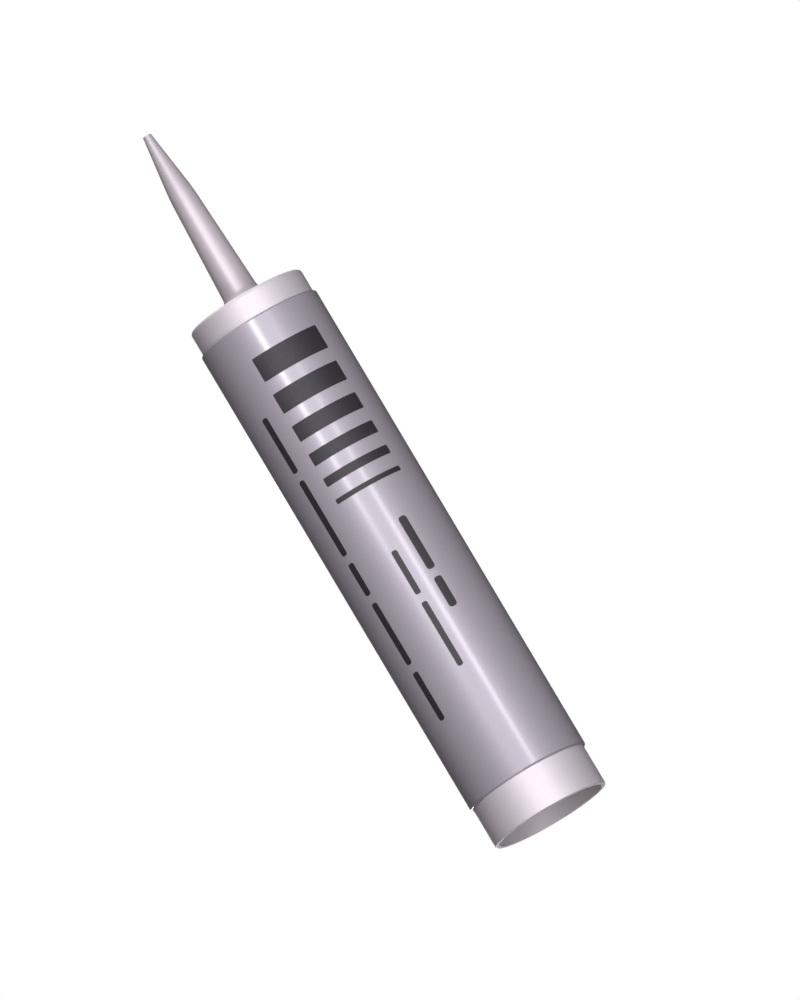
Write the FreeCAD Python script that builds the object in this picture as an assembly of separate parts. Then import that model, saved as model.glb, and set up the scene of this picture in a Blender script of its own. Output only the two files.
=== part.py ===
"""A caulk tube: the moulded cartridge that a caulk gun pushes sealant out of.

Six separate pieces, each exported as its own STEP file:

    barrel        tube, ribbed head and nipple, moulded in one
    label_sleeve  sleeve that hugs the barrel and carries the print
    foil_seal     foil disc that closes the end of the nipple
    nozzle        tapered spout that screws down over the nipple
    sealant       the paste that fills the barrel and the nipple
    plunger       ribbed piston that closes the barrel's open rear

Millimetres, +Z up along the tube's axis. The origin is the centre of the open rear rim, which the
tube stands on, so the nozzle points up.
"""

import FreeCAD, Part

import math
import os

# Barrel: a plain tube, very slightly wider at its open rear mouth so that the plunger starts easily
barrel_outer_diameter = 48.0
barrel_wall = 2.0
barrel_length = 227.0
rear_rim_round = 0.4
rear_mouth_depth = 8.0
rear_mouth_widening = 0.3
rear_mouth_taper = 1.2

# Head: a thin web with radial ribs, set down a little from its rim land and from the nozzle's seat
head_web_thickness = 1.4
head_rib_height = 1.4
head_rib_set_down = 0.4
head_rib_thickness = 1.2
head_rib_count = 12
head_rim_land = 3.4
head_hub_land = 1.5
head_pocket_draft = 0.25
head_edge_round = 1.4
head_inner_round = 1.5

# Nipple: the short spout on the head that the nozzle screws on to
nipple_height = 13.0
nipple_core_diameter = 9.8
nipple_wall = 1.3
nipple_end_chamfer = 0.5
nipple_entry_round = 1.2
thread_depth = 0.55
thread_clearance = 0.1

# Foil seal
foil_thickness = 0.2

# Nozzle: a foot flange, a long slight taper, then a steeper taper to the open tip
nozzle_length = 73.2
nozzle_socket_wall = 1.65
nozzle_stop_overhang = 0.3
nozzle_stop_gap = 0.4
nozzle_flange_overhang = 4.8
nozzle_flange_height = 1.0
nozzle_flange_round = 0.3
nozzle_foot_sweep = 3.7
nozzle_shoulder_diameter = 10.0
nozzle_shoulder_height = 47.6
nozzle_shoulder_round = 95.0
nozzle_wall = 1.1
nozzle_tip_diameter = 3.4
nozzle_tip_wall = 0.75
nozzle_tip_round = 0.2

# Label sleeve: leaves a bare band of barrel at each end
label_thickness = 1.0
label_rear_margin = 16.6
label_front_margin = 10.0
label_edge_round = 0.7

# Plunger: a cup with two sealing lips, stiffened by a hub and ribs behind its dished face
plunger_set_in = 0.8
plunger_length = 17.0
plunger_fit_clearance = 0.08
plunger_lip_length = 2.4
plunger_lip_run_out = 0.8
plunger_waist_depth = 0.7
plunger_skirt_wall = 1.4
plunger_face_thickness = 1.6
plunger_front_chamfer = 1.6
plunger_dish_depth = 0.8
plunger_dish_margin = 5.0
plunger_inner_round = 1.0
plunger_rib_count = 8
plunger_rib_thickness = 1.2
plunger_rib_setback = 6.0
plunger_hub_diameter = 11.0
plunger_hub_wall = 1.3

# Sealant: filled in behind the plunger, just clear of every wall
sealant_wall_gap = 0.05
sealant_plunger_gap = 0.2

# Radii and heights that follow from the sizes above
barrel_radius = barrel_outer_diameter / 2
bore_radius = barrel_radius - barrel_wall
mouth_radius = bore_radius + rear_mouth_widening
bore_start = rear_mouth_depth + rear_mouth_taper
head_front = barrel_length
head_rib_top = head_front - head_rib_set_down
head_pocket_floor = head_rib_top - head_rib_height
head_inside = head_pocket_floor - head_web_thickness
nipple_radius = nipple_core_diameter / 2
nipple_bore_radius = nipple_radius - nipple_wall
nipple_end = head_front + nipple_height
socket_radius = nipple_radius + thread_depth + thread_clearance
nozzle_stem_radius = socket_radius + nozzle_socket_wall
nozzle_flange_radius = nozzle_stem_radius + nozzle_flange_overhang
plunger_rear = bore_start + plunger_set_in
plunger_front = plunger_rear + plunger_length
plunger_lip_radius = bore_radius - plunger_fit_clearance
plunger_waist_radius = plunger_lip_radius - plunger_waist_depth
plunger_skirt_radius = plunger_waist_radius - plunger_skirt_wall

# Most of a straight run that the roundings at its two ends may take up together
largest_rounded_share = 0.98

full_turn = 360.0
origin = FreeCAD.Vector(0, 0, 0)
tube_axis = FreeCAD.Vector(0, 0, 1)


def rounding_reaches(points, radii):
    """How far each corner's rounding reaches along its runs, cut down where a run is too short."""
    count = len(points)
    reaches = []
    for index, radius in enumerate(radii):
        to_before = points[index - 1] - points[index]
        to_after = points[(index + 1) % count] - points[index]
        reaches.append(radius / math.tan(to_before.getAngle(to_after) / 2))
    for index in range(count):
        following = (index + 1) % count
        room = largest_rounded_share * points[index].distanceToPoint(points[following])
        wanted = reaches[index] + reaches[following]
        if wanted > room:
            reaches[index] *= room / wanted
            reaches[following] *= room / wanted
    return reaches


def rounded_corner(before, corner, after, reach):
    """Start, middle and end of the arc that rounds a corner, starting a given reach away from it."""
    to_before = (before - corner).normalize()
    to_after = (after - corner).normalize()
    half_angle = to_before.getAngle(to_after) / 2
    bisector = (to_before + to_after).normalize()
    centre = corner + bisector * (reach / math.cos(half_angle))
    middle = centre - bisector * (reach * math.tan(half_angle))
    return corner + to_before * reach, middle, corner + to_after * reach


def half_section(corners):
    """Closed wire in the XZ plane through corners (radius, height) or (radius, height, rounding)."""
    points = [FreeCAD.Vector(corner[0], 0, corner[1]) for corner in corners]
    radii = [corner[2] if len(corner) > 2 else 0.0 for corner in corners]
    count = len(points)
    bends = []
    for index, reach in enumerate(rounding_reaches(points, radii)):
        if reach > 0:
            bends.append(rounded_corner(points[index - 1], points[index], points[(index + 1) % count], reach))
        else:
            bends.append((points[index], None, points[index]))
    edges = []
    for index, (start, middle, end) in enumerate(bends):
        if middle is not None:
            edges.append(Part.Arc(start, middle, end).toShape())
        edges.append(Part.LineSegment(end, bends[(index + 1) % count][0]).toShape())
    return Part.Wire(edges)


def turned(corners):
    """Solid of revolution about the tube's axis, from the corners of its half section."""
    return Part.Face(half_section(corners)).revolve(origin, tube_axis, full_turn)


def radial_plates(count, thickness, reach, low, high):
    """Upright plates from the axis outwards, evenly spaced round it."""
    plate = Part.makeBox(reach, thickness, high - low, FreeCAD.Vector(0, -thickness / 2, low))
    plates = []
    for index in range(count):
        placed = plate.copy()
        placed.rotate(origin, tube_axis, index * full_turn / count)
        plates.append(placed)
    return plates


def one_solid(shape):
    """The single solid inside a shape, with the seams between its merged faces removed."""
    cleaned = shape.removeSplitter()
    if len(cleaned.Solids) != 1:
        raise ValueError(f"expected one solid, found {len(cleaned.Solids)}")
    return cleaned.Solids[0]


def barrel_body():
    """Tube, closed head and nipple. The fillet at the nipple's root stays inside the thread's crest."""
    return turned([
        (mouth_radius, 0),
        (barrel_radius, 0, rear_rim_round),
        (barrel_radius, head_front, head_edge_round),
        (nipple_radius, head_front, thread_depth),
        (nipple_radius, nipple_end - nipple_end_chamfer),
        (nipple_radius - nipple_end_chamfer, nipple_end),
        (nipple_bore_radius, nipple_end),
        (nipple_bore_radius, head_inside, nipple_entry_round),
        (bore_radius, head_inside, head_inner_round),
        (bore_radius, bore_start),
        (mouth_radius, rear_mouth_depth),
    ])


def head_pockets():
    """The pockets between the head's ribs, a little narrower at their floor so that they release."""
    inner = nozzle_flange_radius + head_hub_land
    outer = barrel_radius - head_rim_land
    ring = turned([
        (inner + head_pocket_draft, head_pocket_floor),
        (outer - head_pocket_draft, head_pocket_floor),
        (outer, head_front),
        (inner, head_front),
    ])
    ribs = radial_plates(head_rib_count, head_rib_thickness, barrel_radius, head_pocket_floor, head_rib_top)
    return ring.cut(ribs)


def make_barrel():
    return one_solid(barrel_body().cut(head_pockets()))


def make_label_sleeve():
    rear = label_rear_margin
    front = barrel_length - label_front_margin
    outer = barrel_radius + label_thickness
    return turned([
        (barrel_radius, rear),
        (outer, rear, label_edge_round),
        (outer, front, label_edge_round),
        (barrel_radius, front),
    ])


def make_foil_seal():
    """Covers the flat end of the nipple, out to where its chamfer begins."""
    return Part.makeCylinder(nipple_radius - nipple_end_chamfer, foil_thickness, FreeCAD.Vector(0, 0, nipple_end))


def make_nozzle():
    """Hollow spout. Its flange seats on the head, and its socket clears the thread on the nipple."""
    seat = head_front
    shoulder = seat + nozzle_shoulder_height
    shoulder_radius = nozzle_shoulder_diameter / 2
    tip = seat + nozzle_length
    tip_radius = nozzle_tip_diameter / 2
    stop = nipple_end + foil_thickness + nozzle_stop_gap
    return turned([
        (socket_radius, seat),
        (nozzle_flange_radius, seat, nozzle_flange_round),
        (nozzle_flange_radius, seat + nozzle_flange_height, nozzle_flange_round),
        (nozzle_stem_radius, seat + nozzle_flange_height, nozzle_foot_sweep),
        (shoulder_radius, shoulder, nozzle_shoulder_round),
        (tip_radius, tip, nozzle_tip_round),
        (tip_radius - nozzle_tip_wall, tip),
        (shoulder_radius - nozzle_wall, shoulder, nozzle_shoulder_round),
        (nipple_radius - nozzle_stop_overhang, stop),
        (socket_radius, stop),
    ])


def plunger_cup():
    """Skirt with a sealing lip at each end, closed by a face that is dished in front."""
    front_lip_end = plunger_front - plunger_front_chamfer
    dish_floor = plunger_front - plunger_dish_depth
    dish_radius = plunger_lip_radius - plunger_front_chamfer - plunger_dish_margin
    return turned([
        (0, dish_floor - plunger_face_thickness),
        (plunger_skirt_radius, dish_floor - plunger_face_thickness, plunger_inner_round),
        (plunger_skirt_radius, plunger_rear),
        (plunger_lip_radius, plunger_rear),
        (plunger_lip_radius, plunger_rear + plunger_lip_length),
        (plunger_waist_radius, plunger_rear + plunger_lip_length + plunger_lip_run_out),
        (plunger_waist_radius, front_lip_end - plunger_lip_length - plunger_lip_run_out),
        (plunger_lip_radius, front_lip_end - plunger_lip_length),
        (plunger_lip_radius, front_lip_end),
        (plunger_lip_radius - plunger_front_chamfer, plunger_front),
        (dish_radius, plunger_front),
        (dish_radius - plunger_dish_depth, dish_floor),
        (0, dish_floor),
    ])


def plunger_stiffening():
    """Hollow hub and radial ribs behind the face. They end inside the face and inside the skirt."""
    low = plunger_rear + plunger_rib_setback
    high = plunger_front - plunger_dish_depth - plunger_face_thickness / 2
    reach = plunger_skirt_radius + plunger_skirt_wall / 2
    hub_radius = plunger_hub_diameter / 2
    foot = FreeCAD.Vector(0, 0, low)
    hub = Part.makeCylinder(hub_radius, high - low, foot)
    well = Part.makeCylinder(hub_radius - plunger_hub_wall, high - low, foot)
    ribs = radial_plates(plunger_rib_count, plunger_rib_thickness, reach, low, high)
    return hub.fuse(ribs).cut(well)


def make_plunger():
    return one_solid(plunger_cup().fuse(plunger_stiffening()))


def make_sealant():
    """Paste from the plunger's face to the foil, the shape of the space that holds it."""
    start = plunger_front + sealant_plunger_gap
    end = head_inside - sealant_wall_gap
    neck_radius = nipple_bore_radius - sealant_wall_gap
    neck_end = nipple_end - sealant_wall_gap
    fill_radius = bore_radius - sealant_wall_gap
    return turned([
        (0, start),
        (fill_radius, start),
        (fill_radius, end, head_inner_round),
        (neck_radius, end, nipple_entry_round),
        (neck_radius, neck_end),
        (0, neck_end),
    ])


def main():
    pieces = {
        "barrel": make_barrel(),
        "label_sleeve": make_label_sleeve(),
        "foil_seal": make_foil_seal(),
        "nozzle": make_nozzle(),
        "sealant": make_sealant(),
        "plunger": make_plunger(),
    }
    os.makedirs("parts", exist_ok=True)
    for name, solid in pieces.items():
        solid.exportStep(os.path.join("parts", name + ".step"))
        print(f"{name}: {solid.Volume / 1000:.2f} cm3, valid {solid.isValid()}")


main()
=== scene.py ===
# %% [markdown]
# # A caulk tube in Blender
#
# The tube's shape comes from a CAD model: barrel, sleeve, nozzle, plunger, foil and sealant, each
# in its place. It is loaded here as a fixed frame. Blender adds what CAD leaves out, which is the
# finish of each plastic, the print on the sleeve, the thread under the nozzle, and the light.
# The frame's box is kept from the start, because nothing that is made here may outgrow it.

# %% Load the frame
import math

import bmesh
import bpy
from mathutils import Matrix, Quaternion, Vector


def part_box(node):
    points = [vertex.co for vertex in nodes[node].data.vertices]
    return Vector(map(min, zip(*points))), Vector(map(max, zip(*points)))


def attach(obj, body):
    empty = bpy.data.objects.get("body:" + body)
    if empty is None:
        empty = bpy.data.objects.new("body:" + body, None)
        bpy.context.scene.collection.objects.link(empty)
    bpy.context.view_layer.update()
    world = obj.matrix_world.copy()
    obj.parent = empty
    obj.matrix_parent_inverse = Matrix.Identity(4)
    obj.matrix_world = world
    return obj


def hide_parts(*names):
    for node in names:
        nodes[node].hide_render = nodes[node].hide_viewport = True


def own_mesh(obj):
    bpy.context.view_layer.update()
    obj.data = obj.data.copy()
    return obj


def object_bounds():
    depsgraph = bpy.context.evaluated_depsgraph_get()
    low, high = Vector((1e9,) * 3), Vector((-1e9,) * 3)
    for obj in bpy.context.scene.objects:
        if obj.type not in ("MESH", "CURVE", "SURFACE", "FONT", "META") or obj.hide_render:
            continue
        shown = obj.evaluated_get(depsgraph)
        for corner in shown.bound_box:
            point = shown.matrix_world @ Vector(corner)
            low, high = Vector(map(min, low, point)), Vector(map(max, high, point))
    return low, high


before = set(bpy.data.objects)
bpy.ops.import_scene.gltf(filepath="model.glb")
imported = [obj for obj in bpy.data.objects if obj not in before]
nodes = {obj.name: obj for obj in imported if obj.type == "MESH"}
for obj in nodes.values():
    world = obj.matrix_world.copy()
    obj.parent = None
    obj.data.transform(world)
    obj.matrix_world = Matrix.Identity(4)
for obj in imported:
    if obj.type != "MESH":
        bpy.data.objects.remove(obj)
cad_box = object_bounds()
mm = 0.001


def in_mm(box):
    """Both corners of a box in millimetres, to print."""
    return [[round(value / mm, 1) for value in corner] for corner in box]


print("Pieces in the frame:", ", ".join(sorted(nodes)))
print("CAD box in mm:", in_mm(cad_box))

# %% [markdown]
# ## Sizes
#
# Every new piece sits on a CAD piece, so its place is read from the frame and isn't typed in. A
# box gives heights well, but a round piece may have no vertex exactly on the X axis, so radii are
# measured from the tube's axis instead.

# %% Read heights and radii
plane_slack = 0.01 * mm  # for picking out the vertices that lie in one plane


def radius_of(vertex):
    """Distance of a vertex from the tube's axis."""
    return vertex.co.to_2d().length


def outer_radius(node):
    return max(radius_of(vertex) for vertex in nodes[node].data.vertices)


label_radius = outer_radius("label_sleeve")
label_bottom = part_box("label_sleeve")[0].z
label_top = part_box("label_sleeve")[1].z
head_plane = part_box("nozzle")[0].z
tube_height = cad_box[1].z
print("Sleeve radius", round(label_radius / mm, 2), "mm, head at", round(head_plane / mm, 2), "mm")

# %% [markdown]
# ## Helpers for materials
#
# Colours are easiest to pick as sRGB hex values, but shaders calculate in linear light, so one
# function converts them. A second one adds a shader node, sets its options and makes its links in
# one call, which keeps each material short enough to read at a glance.

# %% Colour and node helpers
def linear(hex_colour):
    """Linear RGBA of an sRGB hex colour such as #C0B8C2."""
    channels = [int(hex_colour[start:start + 2], 16) / 255 for start in (1, 3, 5)]
    return (*[c / 12.92 if c <= 0.04045 else ((c + 0.055) / 1.055) ** 2.4 for c in channels], 1.0)


def add_node(tree, kind, inputs=None, **options):
    """Adds a node. Its inputs are given by name or number, as values or as sockets to link."""
    node = tree.nodes.new(kind)
    for option, value in options.items():
        setattr(node, option, value)
    for socket, value in (inputs or {}).items():
        if isinstance(value, bpy.types.NodeSocket):
            tree.links.new(value, node.inputs[socket])
        else:
            node.inputs[socket].default_value = value
    return node


def empty_material(name):
    """A new material with no nodes, and its node tree."""
    material = bpy.data.materials.new(name)
    material.use_nodes = True
    material.node_tree.nodes.clear()
    return material, material.node_tree


print("Mid grey #808080 is", round(linear("#808080")[0], 3), "in linear light")

# %% [markdown]
# ## Polyethylene
#
# Barrel, nozzle and plunger are injection moulded in polyethylene, tinted a pearly pale grey. It
# has a waxy, satin skin: a broad soft highlight and no sharp reflection. The pearl comes from
# mica flakes in the resin, which mirror some light in the plastic's own colour, so the shader is
# partly metallic. The mould leaves a fine orange peel, and the core that is drawn out of the
# barrel leaves faint lines along its length. Both are bumps here, because they are far too shallow
# to change the outline. The colour drifts a little, as tint does in a large moulding.

# %% Moulded polyethylene
peel_size = 0.5 * mm
peel_depth = 0.01 * mm
draw_line_size = 1.6 * mm
draw_line_depth = 0.02 * mm
draw_line_stretch = 20
tint_patch_size = 15 * mm
gloss_swing = 0.03


def polyethylene(name, pale, deep, roughness, pearl):
    """Moulded polyethylene whose tint drifts between two colours."""
    material, tree = empty_material(name)
    place = add_node(tree, "ShaderNodeTexCoord").outputs["Object"]
    drawn = add_node(tree, "ShaderNodeMapping", {
        "Vector": place, "Scale": (1.0, 1.0, 1 / draw_line_stretch)}).outputs["Vector"]
    patches = add_node(tree, "ShaderNodeTexNoise", {
        "Vector": place, "Scale": 1 / tint_patch_size, "Detail": 2.0})
    lines = add_node(tree, "ShaderNodeTexNoise", {
        "Vector": drawn, "Scale": 1 / draw_line_size, "Detail": 1.0})
    peel = add_node(tree, "ShaderNodeTexNoise", {
        "Vector": place, "Scale": 1 / peel_size, "Detail": 2.0})
    tint = add_node(tree, "ShaderNodeMix", {
        "Factor": patches.outputs["Fac"], "A": linear(pale), "B": linear(deep)}, data_type="RGBA")
    gloss = add_node(tree, "ShaderNodeMapRange", {
        "Value": lines.outputs["Fac"],
        "To Min": roughness - gloss_swing, "To Max": roughness + gloss_swing})
    low_relief = add_node(tree, "ShaderNodeBump", {
        "Height": lines.outputs["Fac"], "Strength": 0.15, "Distance": draw_line_depth})
    relief = add_node(tree, "ShaderNodeBump", {
        "Height": peel.outputs["Fac"], "Strength": 0.2, "Distance": peel_depth,
        "Normal": low_relief.outputs["Normal"]})
    skin = add_node(tree, "ShaderNodeBsdfPrincipled", {
        "Base Color": tint.outputs["Result"], "Roughness": gloss.outputs["Result"],
        "Normal": relief.outputs["Normal"], "Metallic": pearl, "IOR": 1.54})
    add_node(tree, "ShaderNodeOutputMaterial", {"Surface": skin.outputs["BSDF"]})
    return material


barrel_plastic = polyethylene(
    "moulded polyethylene, pearl", "#D3CDD3", "#CDC7CD", roughness=0.59, pearl=0.38)
nozzle_plastic = polyethylene(
    "moulded polyethylene, nozzle", "#C5BEC3", "#BFB8BD", roughness=0.5, pearl=0.3)
plunger_plastic = polyethylene(
    "moulded polyethylene, plunger", "#D6D2D0", "#CECAC8", roughness=0.5, pearl=0.0)
print("Polyethylene: peel", peel_size / mm, "mm, draw lines", draw_line_size / mm, "mm")

# %% [markdown]
# ## Lacquered label film
#
# The sleeve is a plastic film, coated in silver-lilac paint and then lacquered. The paint is matt
# but has metal flakes in it, so its base is partly metallic too. The lacquer over it is much
# smoother, and it alone gives the sharp bright streak along the tube, so the two are separate
# layers of the shader: a rough base and a smooth coat. Real flakes are about 0.05 mm across. They
# are drawn at 0.25 mm, the smallest size that still shows from half a metre. The film itself
# ripples a little where it lies on the barrel.

# %% Label film
flake_size = 0.25 * mm
ripple_size = 9 * mm
ripple_depth = 0.05 * mm


def label_film(name, pale, deep):
    material, tree = empty_material(name)
    place = add_node(tree, "ShaderNodeTexCoord").outputs["Object"]
    flakes = add_node(tree, "ShaderNodeTexNoise", {
        "Vector": place, "Scale": 1 / flake_size, "Detail": 1.0})
    waves = add_node(tree, "ShaderNodeTexNoise", {
        "Vector": place, "Scale": 1 / ripple_size, "Detail": 1.0})
    paint = add_node(tree, "ShaderNodeMix", {
        "Factor": flakes.outputs["Fac"], "A": linear(pale), "B": linear(deep)}, data_type="RGBA")
    ripple = add_node(tree, "ShaderNodeBump", {
        "Height": waves.outputs["Fac"], "Strength": 0.1, "Distance": ripple_depth})
    skin = add_node(tree, "ShaderNodeBsdfPrincipled", {
        "Base Color": paint.outputs["Result"], "Normal": ripple.outputs["Normal"],
        "Roughness": 0.55, "Metallic": 0.3, "IOR": 1.5,
        "Coat Weight": 0.5, "Coat Roughness": 0.21, "Coat Normal": ripple.outputs["Normal"]})
    add_node(tree, "ShaderNodeOutputMaterial", {"Surface": skin.outputs["BSDF"]})
    return material


silver_film = label_film("lacquered film, silver lilac", "#A9A4AD", "#97939C")
print("Label film: flakes drawn at", flake_size / mm, "mm")

# %% [markdown]
# ## Printing ink
#
# The print is a near-black flexographic ink on top of the lacquer. It dries matt, so it stays dark
# even where the streak of light crosses it. The film is a few thousandths of a millimetre thick,
# and all that the eye sees of it is its colour, with a faint mottle from uneven transfer off the
# printing plate.

# %% Ink
ink_mottle_size = 1.2 * mm


def printing_ink(name, dark, worn):
    material, tree = empty_material(name)
    place = add_node(tree, "ShaderNodeTexCoord").outputs["Object"]
    mottle = add_node(tree, "ShaderNodeTexNoise", {
        "Vector": place, "Scale": 1 / ink_mottle_size, "Detail": 3.0})
    film = add_node(tree, "ShaderNodeMix", {
        "Factor": mottle.outputs["Fac"], "A": linear(dark), "B": linear(worn)}, data_type="RGBA")
    skin = add_node(tree, "ShaderNodeBsdfPrincipled", {
        "Base Color": film.outputs["Result"], "Roughness": 0.55, "IOR": 1.45})
    add_node(tree, "ShaderNodeOutputMaterial", {"Surface": skin.outputs["BSDF"]})
    return material


black_ink = printing_ink("flexographic ink, black", "#222026", "#2E2B32")
print("Ink mottle", ink_mottle_size / mm, "mm")

# %% [markdown]
# ## Foil
#
# The seal over the nipple is hidden until the nozzle comes off. It is rolled aluminium foil, heat
# sealed to the plastic, which leaves it finely quilted. A Voronoi pattern gives that: each of its
# cells is a small dimple.

# %% Rolled foil
quilt_size = 0.7 * mm
quilt_depth = 0.05 * mm


def rolled_foil(name, colour):
    material, tree = empty_material(name)
    place = add_node(tree, "ShaderNodeTexCoord").outputs["Object"]
    quilt = add_node(tree, "ShaderNodeTexVoronoi", {"Vector": place, "Scale": 1 / quilt_size})
    relief = add_node(tree, "ShaderNodeBump", {
        "Height": quilt.outputs["Distance"], "Strength": 0.5, "Distance": quilt_depth})
    skin = add_node(tree, "ShaderNodeBsdfPrincipled", {
        "Base Color": linear(colour), "Metallic": 1.0, "Roughness": 0.32,
        "Normal": relief.outputs["Normal"]})
    add_node(tree, "ShaderNodeOutputMaterial", {"Surface": skin.outputs["BSDF"]})
    return material


seal_foil = rolled_foil("rolled aluminium foil", "#D6D6D8")
print("Foil quilt", quilt_size / mm, "mm")

# %% [markdown]
# ## Latex paste
#
# The sealant is a white latex paste: dull, slightly uneven and a little wet. The same pattern
# drives its colour and its bumps: where the paste stands higher, its colour is a little deeper.

# %% Paste
paste_lump_size = 2.5 * mm
paste_lump_depth = 0.2 * mm


def latex_paste(name, pale, deep):
    material, tree = empty_material(name)
    place = add_node(tree, "ShaderNodeTexCoord").outputs["Object"]
    lumps = add_node(tree, "ShaderNodeTexNoise", {
        "Vector": place, "Scale": 1 / paste_lump_size, "Detail": 3.0})
    body = add_node(tree, "ShaderNodeMix", {
        "Factor": lumps.outputs["Fac"], "A": linear(pale), "B": linear(deep)}, data_type="RGBA")
    relief = add_node(tree, "ShaderNodeBump", {
        "Height": lumps.outputs["Fac"], "Strength": 0.4, "Distance": paste_lump_depth})
    skin = add_node(tree, "ShaderNodeBsdfPrincipled", {
        "Base Color": body.outputs["Result"], "Roughness": 0.4,
        "Normal": relief.outputs["Normal"]})
    add_node(tree, "ShaderNodeOutputMaterial", {"Surface": skin.outputs["BSDF"]})
    return material


white_paste = latex_paste("latex paste, white", "#EEEDE8", "#E2E0DA")
print("Paste lumps", paste_lump_size / mm, "mm")

# %% [markdown]
# ## Dress the CAD pieces
#
# The CAD pieces already have their true shape and smooth normals, so they stay as they are and
# only get a finish. The sealant is the one exception. It gets shorter as the plunger moves up, so
# it is made again further down.

# %% Assign materials to CAD nodes
finishes = {
    "barrel": barrel_plastic,
    "label_sleeve": silver_film,
    "nozzle": nozzle_plastic,
    "plunger": plunger_plastic,
    "foil_seal": seal_foil,
}
for node_name, finish in finishes.items():
    nodes[node_name].material_slots[0].material = finish
print("Dressed", len(finishes), "CAD pieces")

# %% [markdown]
# ## A helper that finishes a new piece
#
# Each new mesh ends the same way: doubled vertices are merged, the normals are made to face out,
# and edges sharper than a chosen angle stay crisp while the rest is smooth. The piece then rides
# on a CAD body, so that it moves when that body does.

# %% Finish a piece
weld_distance = 0.001 * mm
crisp_angle = math.radians(35)


def finish_piece(bm, name, material, body):
    """Turns a bmesh into a finished object that rides on a CAD body."""
    bmesh.ops.remove_doubles(bm, verts=bm.verts, dist=weld_distance)
    bmesh.ops.recalc_face_normals(bm, faces=bm.faces)
    mesh = bpy.data.meshes.new(name)
    bm.to_mesh(mesh)
    bm.free()
    mesh.shade_smooth()
    mesh.set_sharp_from_angle(angle=crisp_angle)
    mesh.materials.append(material)
    piece = bpy.data.objects.new(name, mesh)
    bpy.context.scene.collection.objects.link(piece)
    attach(piece, body)
    print(name, "has", len(mesh.polygons), "faces and rides on", body)
    return piece


print("Edges sharper than", round(math.degrees(crisp_angle)), "degrees stay crisp")

# %% [markdown]
# ## The thread under the nozzle
#
# The nozzle screws on to the nipple with a coarse right-hand thread, three millimetres from turn
# to turn. It could be a curve with a bevel, but a spin is closer to what a thread is: a small
# trapezoid that turns about the axis and climbs a little at each step. Both ends fade into the
# wall, as they do on a moulded thread, so that the nozzle finds its way on to it.

# %% Spin a thread
thread_pitch = 3.0 * mm
thread_foot_width = 1.4 * mm
thread_crest_width = 0.5 * mm
thread_sink = 0.05 * mm
steps_per_turn = 72
fade_turns = 0.35


def thread_ridge(wall_radius, crest_radius, start, turns):
    """Helical ridge from a wall to a crest, which may be outside or inside the wall."""
    foot_radius = wall_radius - math.copysign(thread_sink, crest_radius - wall_radius)
    section = [(foot_radius, -thread_foot_width / 2), (crest_radius, -thread_crest_width / 2),
               (crest_radius, thread_crest_width / 2), (foot_radius, thread_foot_width / 2)]
    bm = bmesh.new()
    corners = [bm.verts.new((radius, 0.0, start + rise)) for radius, rise in section]
    outline = [bm.edges.new((corners[index - 1], corners[index])) for index in range(len(corners))]
    bmesh.ops.spin(bm, geom=corners + outline, cent=(0, 0, 0), axis=(0, 0, 1), use_merge=False,
                   dvec=(0, 0, thread_pitch / steps_per_turn), angle=turns * math.tau,
                   steps=round(turns * steps_per_turn))
    open_ends = [edge for edge in bm.edges if edge.is_boundary]
    bmesh.ops.holes_fill(bm, edges=open_ends, sides=len(section))
    for vertex in bm.verts:
        turn = (vertex.co.z - start) / thread_pitch
        strength = min(1.0, max(0.0, turn / fade_turns), max(0.0, (turns - turn) / fade_turns))
        radius = radius_of(vertex)
        faded = foot_radius + (radius - foot_radius) * strength
        vertex.co.x *= faded / radius
        vertex.co.y *= faded / radius
    return bm


print("Thread pitch", thread_pitch / mm, "mm in", steps_per_turn, "steps to the turn")

# %% [markdown]
# The walls that carry the two threads are read from the frame. The nipple's wall is the widest
# part of the barrel above its root, and the socket's is the inner edge of the nozzle's foot. The
# nozzle's own thread is the same ridge turned inwards and half a pitch higher, so that the two sit
# between each other.

# %% Make both threads
thread_start = head_plane + 2.2 * mm
thread_height = 0.5 * mm
nipple_thread_turns = 3.1
nozzle_thread_turns = nipple_thread_turns - 0.4
above_root = head_plane + mm

nipple_radius = max(radius_of(vertex) for vertex in nodes["barrel"].data.vertices
                    if vertex.co.z > above_root)
socket_radius = min(radius_of(vertex) for vertex in nodes["nozzle"].data.vertices
                    if vertex.co.z < head_plane + plane_slack)
nipple_ridge = thread_ridge(
    nipple_radius, nipple_radius + thread_height, thread_start, nipple_thread_turns)
nipple_thread = finish_piece(nipple_ridge, "nipple_thread", barrel_plastic, "barrel")
nozzle_ridge = thread_ridge(
    socket_radius, socket_radius - thread_height, thread_start + thread_pitch / 2,
    nozzle_thread_turns)
nozzle_thread = finish_piece(nozzle_ridge, "nozzle_thread", nozzle_plastic, "nozzle")
print("Nipple wall", round(nipple_radius / mm, 2), "mm")
print("Socket wall", round(socket_radius / mm, 2), "mm")

# %% [markdown]
# ## Print on the sleeve
#
# The sleeve is printed in plain bars: one block of broad ones that get thinner, three lines of
# small ones, and fine ones at the side. They could be an image, but then they would have no edge
# of their own up close, so they are thin solids. They are laid out flat first, as a printer would,
# with X as the distance round the sleeve and Y as the height. Their corners are rounded while they
# are flat.

# %% Lay out a flat bar
corner_segments = 4


def add_bar(bm, left, right, low, high, corner):
    """One flat bar with rounded corners, between two distances round the sleeve and two heights."""
    # A grid of size 0.5 reaches half a metre each way, so it is one metre wide before it is scaled.
    bar = bmesh.ops.create_grid(bm, x_segments=1, y_segments=1, size=0.5)["verts"]
    bmesh.ops.scale(bm, verts=bar, vec=(right - left, high - low, 1.0))
    bmesh.ops.translate(bm, verts=bar, vec=((left + right) / 2, (low + high) / 2, 0.0))
    bmesh.ops.bevel(bm, geom=bar, offset=corner, affect="VERTICES", segments=corner_segments,
                    profile=0.5, material=-1)


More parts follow.
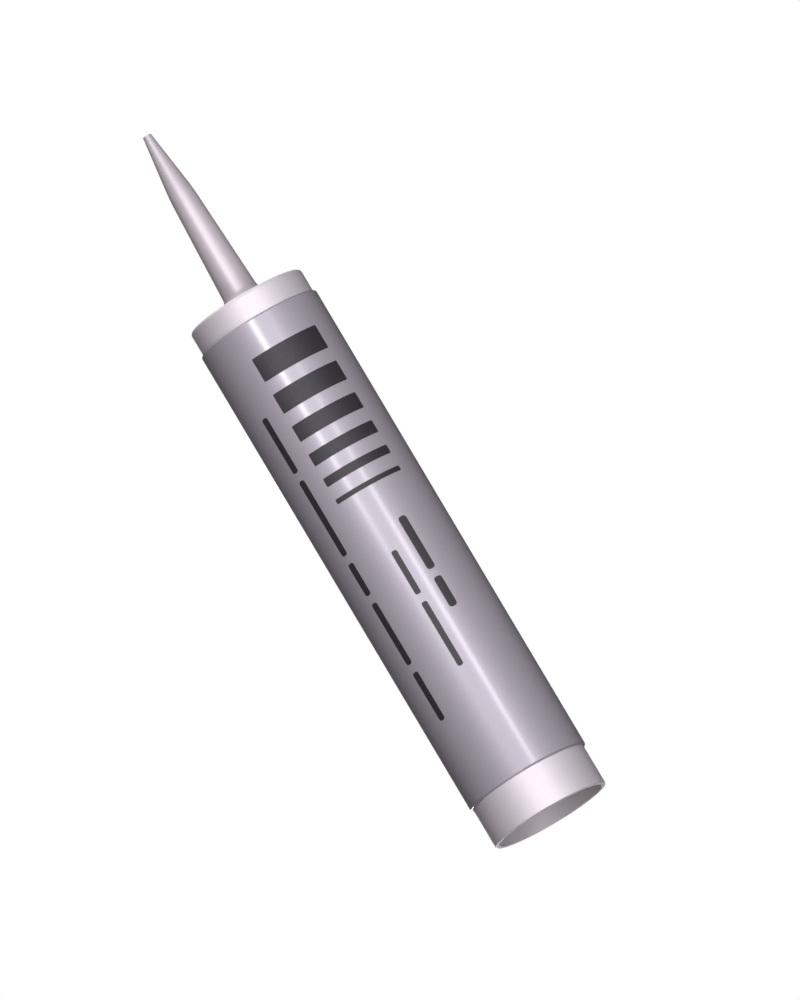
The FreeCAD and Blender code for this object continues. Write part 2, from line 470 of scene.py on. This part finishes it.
print("A bar's corner is rounded in", corner_segments, "segments")

# %% [markdown]
# A flat face can't bend, so the sheet of bars is sliced into strips one millimetre wide. Then it
# gets its thickness, and only then is it wrapped: its distance from the middle becomes an angle
# round the sleeve.

# %% Wrap flat bars round the sleeve
slice_width = 1.0 * mm


def wrap_round_sleeve(bm, thickness):
    """Slices flat bars, thickens them and bends them round the sleeve, with X 0 at the front."""
    slices_each_way = math.floor(math.pi * label_radius / slice_width)
    for step in range(-slices_each_way, slices_each_way + 1):
        everything = bm.verts[:] + bm.edges[:] + bm.faces[:]
        bmesh.ops.bisect_plane(bm, geom=everything, plane_co=(step * slice_width, 0, 0),
                               plane_no=(1, 0, 0))
    raised = bmesh.ops.extrude_face_region(bm, geom=bm.faces[:], use_keep_orig=True)["geom"]
    raised_verts = [item for item in raised if isinstance(item, bmesh.types.BMVert)]
    bmesh.ops.translate(bm, verts=raised_verts, vec=(0, 0, thickness))
    for vertex in bm.verts:
        angle = vertex.co.x / label_radius
        radius = label_radius + vertex.co.z
        vertex.co = Vector((radius * math.sin(angle), -radius * math.cos(angle), vertex.co.y))


print("The sleeve measures", round(math.tau * label_radius / mm, 1), "mm round")

# %% [markdown]
# The block's bars run across the tube, each thinner than the last. The lines run along the tube,
# and each line is a list of bar lengths in millimetres with an even gap between them. Each fine
# line repeats one list, starting one bar later than the line before, so that the gaps don't line
# up.

# %% List the bars
block_left = -9.3 * mm
block_right = 20.2 * mm
block_top = 203.5 * mm
block_heights = [10.0, 8.4, 6.8, 5.2, 3.6, 2.0]
block_gap = 5.6 * mm
block_corner = 0.5 * mm

bar_lines = [
    {"middle": -18.0, "width": 2.9, "top": 182.5, "lengths": [24, 33, 14, 27, 21]},
    {"middle": 9.4, "width": 3.4, "top": 123.5, "lengths": [23, 13]},
    {"middle": 0.0, "width": 2.4, "top": 113.5, "lengths": [19, 28]},
]
line_gap = 3.5
line_corner_share = 0.35

fine_lengths = [17, 9, 24, 12, 20, 14, 27]
fine_line_count = 6
first_fine_middle = 44.0
fine_line_spacing = 3.6
for index in range(fine_line_count):
    bar_lines.append({"middle": first_fine_middle + fine_line_spacing * index, "width": 1.3,
                      "top": 190.0, "lengths": fine_lengths[index:] + fine_lengths[:index]})
print(len(block_heights), "bars in the block and", len(bar_lines), "lines")

# %% [markdown]
# All the bars go on to one flat sheet, which is then wrapped in one go. The ink is drawn 0.03 mm
# thick, ten times the real film, so that it can't flicker against the sleeve.

# %% Print the bars
print_thickness = 0.03 * mm

print_sheet = bmesh.new()
bar_top = block_top
for bar_height in block_heights:
    add_bar(print_sheet, block_left, block_right, bar_top - bar_height * mm, bar_top, block_corner)
    bar_top -= bar_height * mm + block_gap
for line in bar_lines:
    left = (line["middle"] - line["width"] / 2) * mm
    right = (line["middle"] + line["width"] / 2) * mm
    top = line["top"]
    for length in line["lengths"]:
        add_bar(print_sheet, left, right, (top - length) * mm, top * mm,
                line_corner_share * (right - left))
        top -= length + line_gap
wrap_round_sleeve(print_sheet, print_thickness)
finish_piece(print_sheet, "print_bars", black_ink, "barrel")

# %% [markdown]
# ## The sleeve's seam
#
# The film is wrapped round the barrel and welded to itself at the back, where the overlap stands
# up by its own thickness. It is the same kind of flat bar, only one of it, in the film's finish.

# %% Weld the seam
seam_width = 6.0 * mm
seam_thickness = 0.08 * mm
seam_inset = 0.9 * mm
seam_corner = 0.4 * mm

seam_sheet = bmesh.new()
seam_left = math.pi * label_radius - seam_width
add_bar(seam_sheet, seam_left, seam_left + seam_width, label_bottom + seam_inset,
        label_top - seam_inset, seam_corner)
wrap_round_sleeve(seam_sheet, seam_thickness)
label_seam = finish_piece(seam_sheet, "label_seam", silver_film, "barrel")

# %% [markdown]
# ## The sealant
#
# The paste shortens as the plunger comes up, and leaves through the nipple. It is made as two
# pieces: the fill in the barrel, and the neck inside the nipple. One solid can't do both, so it is
# two pieces. Each is a half outline, spun once round the axis.

# %% Spin a solid
round_steps = 96


def spun_solid(outline):
    """Closed round solid from the radii and heights of its half outline, axis to axis."""
    bm = bmesh.new()
    points = [bm.verts.new((radius, 0.0, height)) for radius, height in outline]
    chain = [bm.edges.new(pair) for pair in zip(points, points[1:])]
    bmesh.ops.spin(bm, geom=points + chain, cent=(0, 0, 0), axis=(0, 0, 1), dvec=(0, 0, 0),
                   angle=math.tau, steps=round_steps, use_merge=True)
    return bm


print("A round solid is spun in", round_steps, "steps")

# %% [markdown]
# The fill's radius and both heights come from the CAD sealant, and so does the neck's radius,
# which is that of the edge round its top. The fill's upper edge is rounded where paste has drawn
# back from the corner.

# %% Make the fill and the neck
shoulder = 1.5 * mm
shoulder_bow = 0.3

sealant_vertices = nodes["sealant"].data.vertices
sealant_low, sealant_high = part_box("sealant")
fill_radius = outer_radius("sealant")
fill_top = max(vertex.co.z for vertex in sealant_vertices if radius_of(vertex) > fill_radius / 2)
neck_radius = min(radius_of(vertex) for vertex in sealant_vertices
                  if vertex.co.z > sealant_high.z - plane_slack and radius_of(vertex) > mm)
fill_outline = [
    (0, sealant_low.z), (fill_radius, sealant_low.z), (fill_radius, fill_top - shoulder),
    (fill_radius - shoulder * shoulder_bow, fill_top - shoulder * shoulder_bow),
    (fill_radius - shoulder, fill_top), (0, fill_top)]
neck_outline = [
    (0, fill_top), (neck_radius, fill_top), (neck_radius, sealant_high.z), (0, sealant_high.z)]

sealant_fill = finish_piece(spun_solid(fill_outline), "sealant_fill", white_paste, "barrel")
sealant_neck = finish_piece(spun_solid(neck_outline), "sealant_neck", white_paste, "barrel")
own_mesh(sealant_fill)
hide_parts("sealant")
print("Sealant from", round(sealant_low.z / mm, 1), "to", round(fill_top / mm, 1), "mm")
print("Neck up to", round(sealant_high.z / mm, 1), "mm")

# %% [markdown]
# ## The floor
#
# The tube stands on a plain pale floor. The camera looks up at the tube from just below floor
# level, so the floor has to vanish when it is seen from underneath: its back face is transparent.
# Seen from above it is a pale sheet that takes the tube's shadow, and further out it fades into
# the white of the room, so that no edge shows. Part of its paleness is a glow that only the camera
# sees.

# %% Floor paint
fade_start = 0.35
fade_end = 0.9
floor_glow = 0.45


def pale_floor(name, colour):
    """Paint that fades to white with distance, for the camera, and is clear from below."""
    material, tree = empty_material(name)
    place = add_node(tree, "ShaderNodeTexCoord").outputs["Object"]
    distance = add_node(tree, "ShaderNodeVectorMath", {0: place}, operation="LENGTH")
    fade = add_node(tree, "ShaderNodeMapRange", {
        "Value": distance.outputs["Value"], "From Min": fade_start, "From Max": fade_end},
        interpolation_type="SMOOTHSTEP").outputs["Result"]
    seen = add_node(tree, "ShaderNodeLightPath").outputs["Is Camera Ray"]
    paint = add_node(tree, "ShaderNodeBsdfDiffuse", {"Color": linear(colour)}).outputs["BSDF"]
    glow = add_node(tree, "ShaderNodeEmission", {
        "Color": linear("#FFFFFF"), "Strength": floor_glow}).outputs[0]
    white = add_node(tree, "ShaderNodeEmission", {
        "Color": linear("#FFFFFF"), "Strength": 1.0}).outputs[0]
    near = add_node(tree, "ShaderNodeAddShader", {0: paint, 1: glow}).outputs[0]
    faded = add_node(tree, "ShaderNodeMixShader", {0: fade, 1: near, 2: white}).outputs[0]
    top = add_node(tree, "ShaderNodeMixShader", {0: seen, 1: paint, 2: faded}).outputs[0]
    underside = add_node(tree, "ShaderNodeBsdfTransparent").outputs[0]
    below = add_node(tree, "ShaderNodeNewGeometry").outputs["Backfacing"]
    sheet = add_node(tree, "ShaderNodeMixShader", {0: below, 1: top, 2: underside})
    add_node(tree, "ShaderNodeOutputMaterial", {"Surface": sheet.outputs["Shader"]})
    return material


floor_paint = pale_floor("painted floor, pale", "#CCCBCA")
print("Floor fades to white from", fade_start, "to", fade_end, "metres")

# %% [markdown]
# The sheet itself is a large disc, a hair below the rim that the tube stands on. Light that
# bounces doesn't meet it, and it casts no shadow, so the tube is lit as evenly from below as from
# above.

# %% Lay the floor
floor_radius = 4.0
floor_drop = 0.05 * mm

floor_bm = bmesh.new()
bmesh.ops.create_circle(floor_bm, cap_ends=True, segments=96, radius=floor_radius)
bmesh.ops.translate(floor_bm, verts=floor_bm.verts, vec=(0, 0, -floor_drop))
floor_mesh = bpy.data.meshes.new("floor")
floor_bm.to_mesh(floor_mesh)
floor_bm.free()
floor_mesh.materials.append(floor_paint)
floor = bpy.data.objects.new("floor", floor_mesh)
bpy.context.scene.collection.objects.link(floor)
floor.visible_diffuse = False
floor.visible_glossy = False
floor.visible_shadow = False
print("Floor normal points", "up" if floor_mesh.polygons[0].normal.z > 0 else "down")

# %% [markdown]
# ## The world
#
# The background is plain white, also in reflections and through glass. What lights the tube from
# all round is much weaker, so that its sides fall away into grey and the round form reads. Light
# Path tells the two kinds of ray apart.

# %% White background, weak fill light
fill_strength = 0.045

world = bpy.data.worlds.new("studio")
bpy.context.scene.world = world
world.use_nodes = True
world.cycles.sampling_method = "NONE"
world_tree = world.node_tree
world_tree.nodes.clear()
path = add_node(world_tree, "ShaderNodeLightPath")
seen = add_node(world_tree, "ShaderNodeMath", {
    0: path.outputs["Is Camera Ray"], 1: path.outputs["Is Glossy Ray"]}, operation="MAXIMUM")
shown = add_node(world_tree, "ShaderNodeMath", {
    0: seen.outputs[0], 1: path.outputs["Is Transmission Ray"]}, operation="MAXIMUM")
fill_light = add_node(world_tree, "ShaderNodeBackground", {
    "Color": linear("#FFFFFF"), "Strength": fill_strength})
backdrop = add_node(world_tree, "ShaderNodeBackground", {
    "Color": linear("#FFFFFF"), "Strength": 1.0})
either = add_node(world_tree, "ShaderNodeMixShader", {
    0: shown.outputs[0], 1: fill_light.outputs["Background"], 2: backdrop.outputs["Background"]})
add_node(world_tree, "ShaderNodeOutputWorld", {"Surface": either.outputs["Shader"]})
print("Fill light strength", fill_strength)

# %% [markdown]
# ## Lamps
#
# A round, satin tube is lit the way a bottle is: by area lamps that are large for their distance,
# all turned towards its middle. Each is placed by its angle round the tube, its height angle and
# its distance, which is how a photographer would describe it.

# %% Lamp helpers
tube_middle = Vector((0, 0, tube_height / 2))
level = Vector((1, 0, 0))
upright = Vector((0, 0, 1))


def around_tube(azimuth, elevation, distance):
    """A point given by its angle round the tube (0 is the front), height angle and distance."""
    turn = math.radians(azimuth)
    climb = math.radians(elevation)
    direction = Vector((math.sin(turn) * math.cos(climb), -math.cos(turn) * math.cos(climb),
                        math.sin(climb)))
    return tube_middle + direction * distance


def facing_matrix(centre, along):
    """Placement at a centre, local -Z to the tube and local X as near as can be to a direction."""
    back = (centre - tube_middle).normalized()
    across = (along - back * along.dot(back)).normalized()
    rotation = Matrix((across, back.cross(across), back)).transposed()
    return Matrix.Translation(centre) @ rotation.to_4x4()


def area_lamp(name, centre, along, length, width, watts, colour="#FFFFFF", shape="RECTANGLE"):
    """A lamp that faces the tube, with its length along a direction. The camera doesn't see it."""
    data = bpy.data.lights.new(name, "AREA")
    data.color = linear(colour)[:3]
    data.shape = shape
    data.size = length
    data.size_y = width
    data.energy = watts
    lamp = bpy.data.objects.new(name, data)
    bpy.context.scene.collection.objects.link(lamp)
    lamp.matrix_world = facing_matrix(centre, along)
    lamp.visible_camera = False
    print(name, "lamp:", watts, "W over", round(length * width, 3), "square metres")
    return lamp


print("Lamps face a point", round(tube_middle.z / mm, 1), "mm above the floor")

# %% [markdown]
# ## Strip lights
#
# The lacquer turns a narrow upright strip into a sharp streak along the tube, so a strip hangs
# where the tube mirrors it. A round tube shows a streak at some angle round it when the lamp
# stands at twice that angle, and a camera that looks up by 8 degrees sees what hangs 8 degrees
# above level. So a strip is placed by the view that is to see it and by where its streak should
# run. Two short ones serve the main view: the upper streak runs left of the middle, the lower one
# right of it. They are ellipses, so each streak fades at its ends. Two longer ones are for views
# from above, at the front and at the back.

# %% Hang the strips
strip_distance = 0.9
strip_width = 0.12
main_view = (0, -8)  # degrees round the tube and above level, as for the camera


def strip_lamp(name, view, offset, height, length, watts):
    """Upright strip that a view sees mirrored, offset by some degrees right of the middle."""
    azimuth, elevation = view
    turn = math.radians(azimuth + 2 * offset)
    rise = -math.tan(math.radians(elevation))
    centre = Vector((math.sin(turn), -math.cos(turn), rise)) * strip_distance + upright * height
    area_lamp(name, centre, upright, length, strip_width, watts, colour="#FFF8FF", shape="ELLIPSE")


strip_lamp("upper_strip", main_view, offset=-4.3, height=0.23, length=0.176, watts=3.0)
strip_lamp("lower_strip", main_view, offset=11.3, height=0.08, length=0.17, watts=1.8)
strip_lamp("front_strip", (16, 15), offset=0, height=0.11, length=0.5, watts=1.6)
strip_lamp("back_strip", (192, 15), offset=0, height=0.11, length=0.5, watts=3.4)

# %% [markdown]
# ## Softboxes
#
# Square softboxes give the broad, even light. One hangs in front and above, one lower down on the
# right, and a third shines up into the tube's open mouth. A light overhead gives the floor its
# shadow. The last one stands behind the tube, low down, so that it doesn't shine along the flanks.
# It would mirror in the rear rim, which is seen edge on, so it gives diffuse light alone.

# %% Hang the softboxes
area_lamp("upper_softbox", around_tube(azimuth=0, elevation=24, distance=0.95), level,
          length=0.6, width=0.6, watts=2.5)
area_lamp("lower_softbox", around_tube(azimuth=28, elevation=-16, distance=1.1), level,
          length=0.6, width=0.6, watts=2.6)
area_lamp("mouth_softbox", around_tube(azimuth=0, elevation=-40, distance=1.1), level,
          length=0.6, width=0.6, watts=2.8)
area_lamp("top_light", around_tube(azimuth=200, elevation=78, distance=1.6), level,
          length=0.8, width=0.8, watts=12.0)
back_softbox = area_lamp("back_softbox", around_tube(azimuth=190, elevation=-25, distance=1.1),
                         level, length=1.0, width=0.8, watts=7.5)
back_softbox.visible_glossy = False

# %% [markdown]
# ## A grey tent
#
# A tent of grey cloth hangs all round, and the camera doesn't see it. It keeps the white room out
# of the flanks and the rear rim, so that the tube's edges stay dark. Its brightness is a weak
# emission, because every lamp hangs inside it and faces the other way.

# %% Hang the tent
def cloth_tent(name, radius, low, high, glow):
    """Round wall of evenly lit cloth between two heights."""
    material, tree = empty_material(name + " cloth")
    cloth = add_node(tree, "ShaderNodeEmission", {"Color": linear("#FFFFFF"), "Strength": glow})
    add_node(tree, "ShaderNodeOutputMaterial", {"Surface": cloth.outputs["Emission"]})
    bm = bmesh.new()
    bmesh.ops.create_cone(bm, cap_ends=False, segments=64, radius1=radius, radius2=radius,
                          depth=high - low)
    bmesh.ops.translate(bm, verts=bm.verts, vec=(0, 0, (low + high) / 2))
    mesh = bpy.data.meshes.new(name)
    bm.to_mesh(mesh)
    bm.free()
    mesh.materials.append(material)
    tent = bpy.data.objects.new(name, mesh)
    bpy.context.scene.collection.objects.link(tent)
    tent.visible_camera = False
    tent.visible_shadow = False
    print(name, "tent glows at", glow)


cloth_tent("grey", radius=1.3, low=-3.0, high=2.0, glow=0.04)

# %% [markdown]
# ## The camera
#
# The picture has no perspective: the tube is as wide at its far end as at its near end, so the
# camera is orthographic. It looks up at the tube from 8 degrees below level, which opens the rear
# rim to the view, and it is rolled, so that the upright tube leans across the picture. The scale
# is 2.66 pixels to the millimetre on a picture 1000 pixels high.

# %% Place the camera
picture_height = 1000
pixels_per_mm = 2.66
camera_elevation = math.radians(main_view[1])
camera_roll = math.radians(30.72)
camera_target = Vector((11.9 * mm, 0, 132.25 * mm))
camera_distance = 1.0

camera_data = bpy.data.cameras.new("camera")
camera_data.type = "ORTHO"
camera_data.ortho_scale = picture_height / pixels_per_mm * mm
camera_data.clip_start = 0.01
camera_data.clip_end = 20.0
camera = bpy.data.objects.new("camera", camera_data)
bpy.context.scene.collection.objects.link(camera)
towards_camera = Vector((0, -math.cos(camera_elevation), math.sin(camera_elevation)))
facing = (-towards_camera).to_track_quat("-Z", "Y")
camera.location = camera_target + towards_camera * camera_distance
camera.rotation_mode = "QUATERNION"
camera.rotation_quaternion = facing @ Quaternion((0, 0, 1), -camera_roll)
bpy.context.scene.camera = camera
bpy.context.scene.view_settings.view_transform = "Standard"
print("Camera frames", round(camera_data.ortho_scale / mm, 1), "mm of height")
